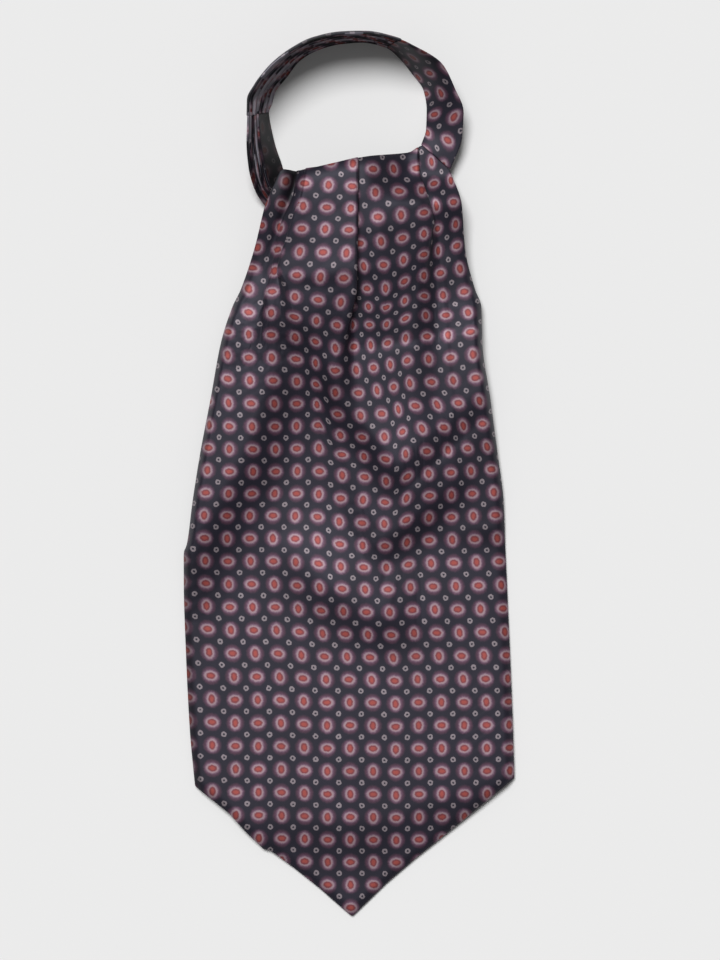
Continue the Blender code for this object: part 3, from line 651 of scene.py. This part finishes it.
def loop_surface(first, last, steps, across, pleats=1, crest=0.5, rise=np.zeros_like,
                 trim=(0.0, 0.0), plain=0.0, bulge=1.0):
    """The middle layer of one stretch of the loop, from one station to another: lines from the
    inside rim to the outside one, straight seen from above and the more arched the larger the
    bulge, with pleats as low rounded saw teeth across them, past a plain share. "crest" is where
    in a pleat its top is, and "rise" gives its height along the stretch. Gives the points, and
    how far along and how far across each is, the last row first, so that the printed side faces
    up and into the loop."""
    names = LOOP["at"]
    station = np.arange(len(names))
    fine = np.linspace(names.index(first), names.index(last), 800)
    rims = [np.stack([curve(station, LOOP[f"{rim}_{axis}"], fine) for axis in "xyz"], -1)
            for rim in ("in", "out")]
    middle = (rims[0] + rims[1]) / 2
    walked = np.concatenate([[0], np.cumsum(np.linalg.norm(np.diff(middle, axis=0), axis=1))])
    at = np.linspace(trim[0], walked[-1] - trim[1], steps + 1)
    inner, outer = (np.stack([np.interp(at, walked, rim[:, k]) for k in range(3)], -1) for rim in rims)
    points = inner[:, None] + (outer - inner)[:, None] * across[None, :, None]
    climb = 1 - (1 - across) ** bulge
    points[..., 2] = inner[:, None, 2] + (outer - inner)[:, None, 2] * climb
    stride = np.linalg.norm(np.diff(points, axis=1), axis=-1)
    wide = np.concatenate([np.zeros((len(at), 1)), np.cumsum(stride, axis=1)], axis=1)
    forward = np.gradient((inner + outer) / 2, axis=0)
    face = np.cross(forward, outer - inner)
    face /= -np.linalg.norm(face, axis=1, keepdims=True)
    tooth = np.clip((across - plain) / (1 - plain), 0, 1) * pleats % 1.0
    tooth = np.where(tooth < crest, np.sin(tooth / crest * np.pi / 2),
                     1 - (np.maximum(tooth - crest, 0.0) / (1 - crest)) ** 1.4)
    tooth = np.where((across <= plain) | (across >= 1), 0.0, tooth)
    height = rise(at / walked[-1])[:, None] * tooth[None, :]
    along = np.repeat(at[:, None], len(across), axis=1)
    points = points + face[:, None] * height[..., None]
    return points[::-1], along[::-1], wide[::-1]


def pleat_edge_highlight(pleat_share):
    """Where a highlight is painted: 1 along each pleat's folded edge, which is just past its foot seen
    from inside the loop, and a bell curve of the share of a pleat away from it."""
    return np.exp(-(((pleat_share + 0.42) % 1.0 - 0.5) / 0.08) ** 2)


# The neckband: shade is painted on its print in uneven stretches, and a highlight is painted along its
# pleats' edges, brightest by the left seam
BAND_PLEATS = 6
BAND_PLEAT_RISE = 1.7
HIDDEN_IN_PLEAT = 6.6   # silk folded away behind each fine pleat
BAND_PRINT_SLIP = 2.7   # how far the print slips along from one pleat to the next
across = np.linspace(0, 1, BAND_PLEATS * 14 + 1)
middle, along, wide = loop_surface("left seam", "right seam", 220, across, BAND_PLEATS, 0.2,
                                   lambda s: BAND_PLEAT_RISE * (1 - 0.3 * s), (SEAM / 2, 0.0))
number = np.minimum(np.floor(across * BAND_PLEATS + 1e-6), BAND_PLEATS - 1)
flat = np.stack([wide + HIDDEN_IN_PLEAT * number, along + BAND_PRINT_SLIP * number], -1)
# Painted highlight along each pleat's edge, fainter further from the left seam
edge = pleat_edge_highlight(across * BAND_PLEATS) * (1 - 0.4 * smooth(0.1, 0.45, along / along.max()))
edge *= 0.65 + 0.35 * np.sin(along / 6.0 + 1.9 * number)
# Painted shade: the print is darkened toward the back's colour, in uneven stretches
print_and_light = 0.22 + 0.2 * np.sin(along / 4.0 + 2.3 * number)
print_and_light = np.where(edge > 0.2, 1.0 + edge, print_and_light)
neckband = cloth("neckband_silk", middle, flat, LOOP_THICKNESS, silk, print_and_light, 0.8)
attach(neckband, "root")
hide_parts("neckband")

# The right taper: how far its print is set off, at each distance from the seam, because the
# strip is cut on a slant. Shade is painted on the print by the seam, where the strip stands steep.
RIGHT_TAPER_DRIFT = {
    "from_seam": (0, 20, 35, 47, 56, 66),
    "across":    (-17, -15, -13.4, -5.1, -1.1, -3.5),
    "along":     4.9,
}
middle, along, wide = loop_surface("right seam", "blade corner", 120, np.linspace(0, 1, 50),
                                   trim=(SEAM, SEAM), bulge=1.7)
drift = curve(RIGHT_TAPER_DRIFT["from_seam"], RIGHT_TAPER_DRIFT["across"], along)
flat = np.stack([wide + drift, RIGHT_TAPER_DRIFT["along"] - along], -1)
# Painted shade: the print is darkened within 12 mm of the seam and fades in until 30 mm
print_and_light = 0.45 + 0.55 * smooth(12, 30, along)
right_taper = cloth("right_taper_silk", middle, flat, LOOP_THICKNESS, silk, print_and_light)
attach(right_taper, "root")
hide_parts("right_taper")

# The left taper: its wide face inside is the silk's back, with shade painted on it, and its pleats lie
# only along the top
TAPER_PLEATS = 4
TAPER_PLEAT_RISE = 0.9
TAPER_PRINT_SLIP = 3.1
FACE = 0.52             # share of its width that is the plain face
across = np.concatenate([np.linspace(0, FACE, 20, endpoint=False),
                         np.linspace(FACE, 1, TAPER_PLEATS * 10 + 1)])
middle, along, wide = loop_surface("hidden end", "left seam", 160, across, TAPER_PLEATS, 0.25,
                                   lambda s: TAPER_PLEAT_RISE * smooth(0.1, 0.4, s),
                                   (SEAM, SEAM / 2), FACE)
pleats_crossed = (across - FACE) / (1 - FACE) * TAPER_PLEATS
number = np.clip(np.floor(pleats_crossed + 1e-6), -1, TAPER_PLEATS - 1)
flat = np.stack([wide + HIDDEN_IN_PLEAT * (number + 1), along + TAPER_PRINT_SLIP * (number + 1)], -1)
# Painted highlight along each pleat's edge, from 12 to 30 mm on and further
edge = pleat_edge_highlight(pleats_crossed) * smooth(12.0, 30.0, along)
edge *= 0.4 + 0.4 * np.sin(along / 8.0 + 2.4 * number)
# The face gets the back's colour, dark enough to paint its shade; the pleats' print is faded to 0.45
print_and_light = np.where(across < FACE, WRONG_SIDE, np.where(edge > 0.15, 1.0 + edge, 0.45))
left_taper = cloth("left_taper_silk", middle, flat, LOOP_THICKNESS, silk, print_and_light, 1.0)
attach(left_taper, "root")
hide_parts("left_taper")


# The under blade.
# The second blade, cut like the front one, flat on the table and hidden from above.
UNDER = {
    "left_x":  (-70, -73, -75, -69, -58, -47, -39, -32.9),
    "left_y":  (70, 110, 165, 215, 260, 300, 326, 340.6),
    "right_x": (72, 72, 69, 64, 50, 33, 8, -22.0),
    "right_y": (72, 112, 165, 215, 262, 305, 338, 356.6),
}
UNDER_POINT = 9.0       # how far above the front blade's tip its point lies
UNDER_POINT_SHARE = 0.32    # the share of its length over which its rows bend to the point
UNDER_HEIGHT = 1.0
UNDER_THICKNESS = 1.6   # two layers of silk, pressed flat


def under_blade_surface(rows, columns):
    """The hidden blade: straight rows from its left edge to its right one, the lowest bent down
    to a point in the middle, all at one height."""
    knots = np.linspace(0, 1, len(UNDER["left_x"]))
    lx, ly, rx, ry = (curve(knots, values, rows) for values in UNDER.values())
    x = lx[:, None] + (rx - lx)[:, None] * columns
    y = ly[:, None] + (ry - ly)[:, None] * columns
    point = (1 - np.abs(2 * columns - 1)) * (1 - smooth(0, UNDER_POINT_SHARE, rows))[:, None]
    y = y - point * (UNDER["left_y"][0] - UNDER_POINT)
    return np.stack([x, y, np.full_like(x, UNDER_HEIGHT)], axis=-1)


middle = under_blade_surface(np.linspace(0, 1, 120), np.linspace(0, 1, 80))
under_blade = cloth("under_blade_silk", middle, middle[..., :2], UNDER_THICKNESS, silk)
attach(under_blade, "root")
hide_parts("under_blade")


# The table, the light and the camera.
# A white paper sweep under one large soft lamp from the upper left, and the camera straight above.
# Sizes are in metres from here on.
PAPER = 2.0
floor_mesh = bpy.data.meshes.new("paper_floor")
corners = [(-PAPER, -PAPER, 0), (PAPER, -PAPER, 0), (PAPER, PAPER, 0), (-PAPER, PAPER, 0)]
floor_mesh.from_pydata(corners, [], [(0, 1, 2, 3)])
paper = bpy.data.materials.new("white_paper")
paper.use_nodes = True
paper.node_tree.nodes["Principled BSDF"].inputs["Base Color"].default_value = linear("#e6e6e6")
paper.node_tree.nodes["Principled BSDF"].inputs["Roughness"].default_value = 0.9
floor_mesh.materials.append(paper)
floor = bpy.data.objects.new("paper_floor", floor_mesh)
bpy.context.scene.collection.objects.link(floor)
floor.location.z = -0.0002   # just clear of the silk's underside

LIGHT_FROM = Vector((-5.5, 14.0, 28.0))
key = bpy.data.lights.new("soft_key", "SUN")
key.energy = 3.1
key.angle = 0.5         # radians: a wide lamp, for soft shadows
key_object = bpy.data.objects.new("soft_key", key)
key_object.rotation_mode = "QUATERNION"
key_object.rotation_quaternion = LIGHT_FROM.to_track_quat("Z", "Y")
bpy.context.scene.collection.objects.link(key_object)

world = bpy.data.worlds.new("studio")
world.use_nodes = True
world.node_tree.nodes["Background"].inputs["Color"].default_value = (1.0, 0.995, 0.99, 1.0)
world.node_tree.nodes["Background"].inputs["Strength"].default_value = 0.18
bpy.context.scene.world = world

CAMERA_HEIGHT = 1.5
VIEW_CENTRE = (0.00549, -0.00171)
VIEW_HEIGHT = 0.480     # how much of the table the photo takes in, at half a millimetre a pixel
SENSOR = 36.0           # millimetres
lens = bpy.data.cameras.new("camera")
lens.sensor_fit = "VERTICAL"
lens.sensor_height = SENSOR
lens.lens = SENSOR * CAMERA_HEIGHT / VIEW_HEIGHT
camera = bpy.data.objects.new("camera", lens)
camera.location = (*VIEW_CENTRE, CAMERA_HEIGHT)
bpy.context.scene.collection.objects.link(camera)
bpy.context.scene.camera = camera
bpy.context.scene.view_settings.view_transform = "Standard"
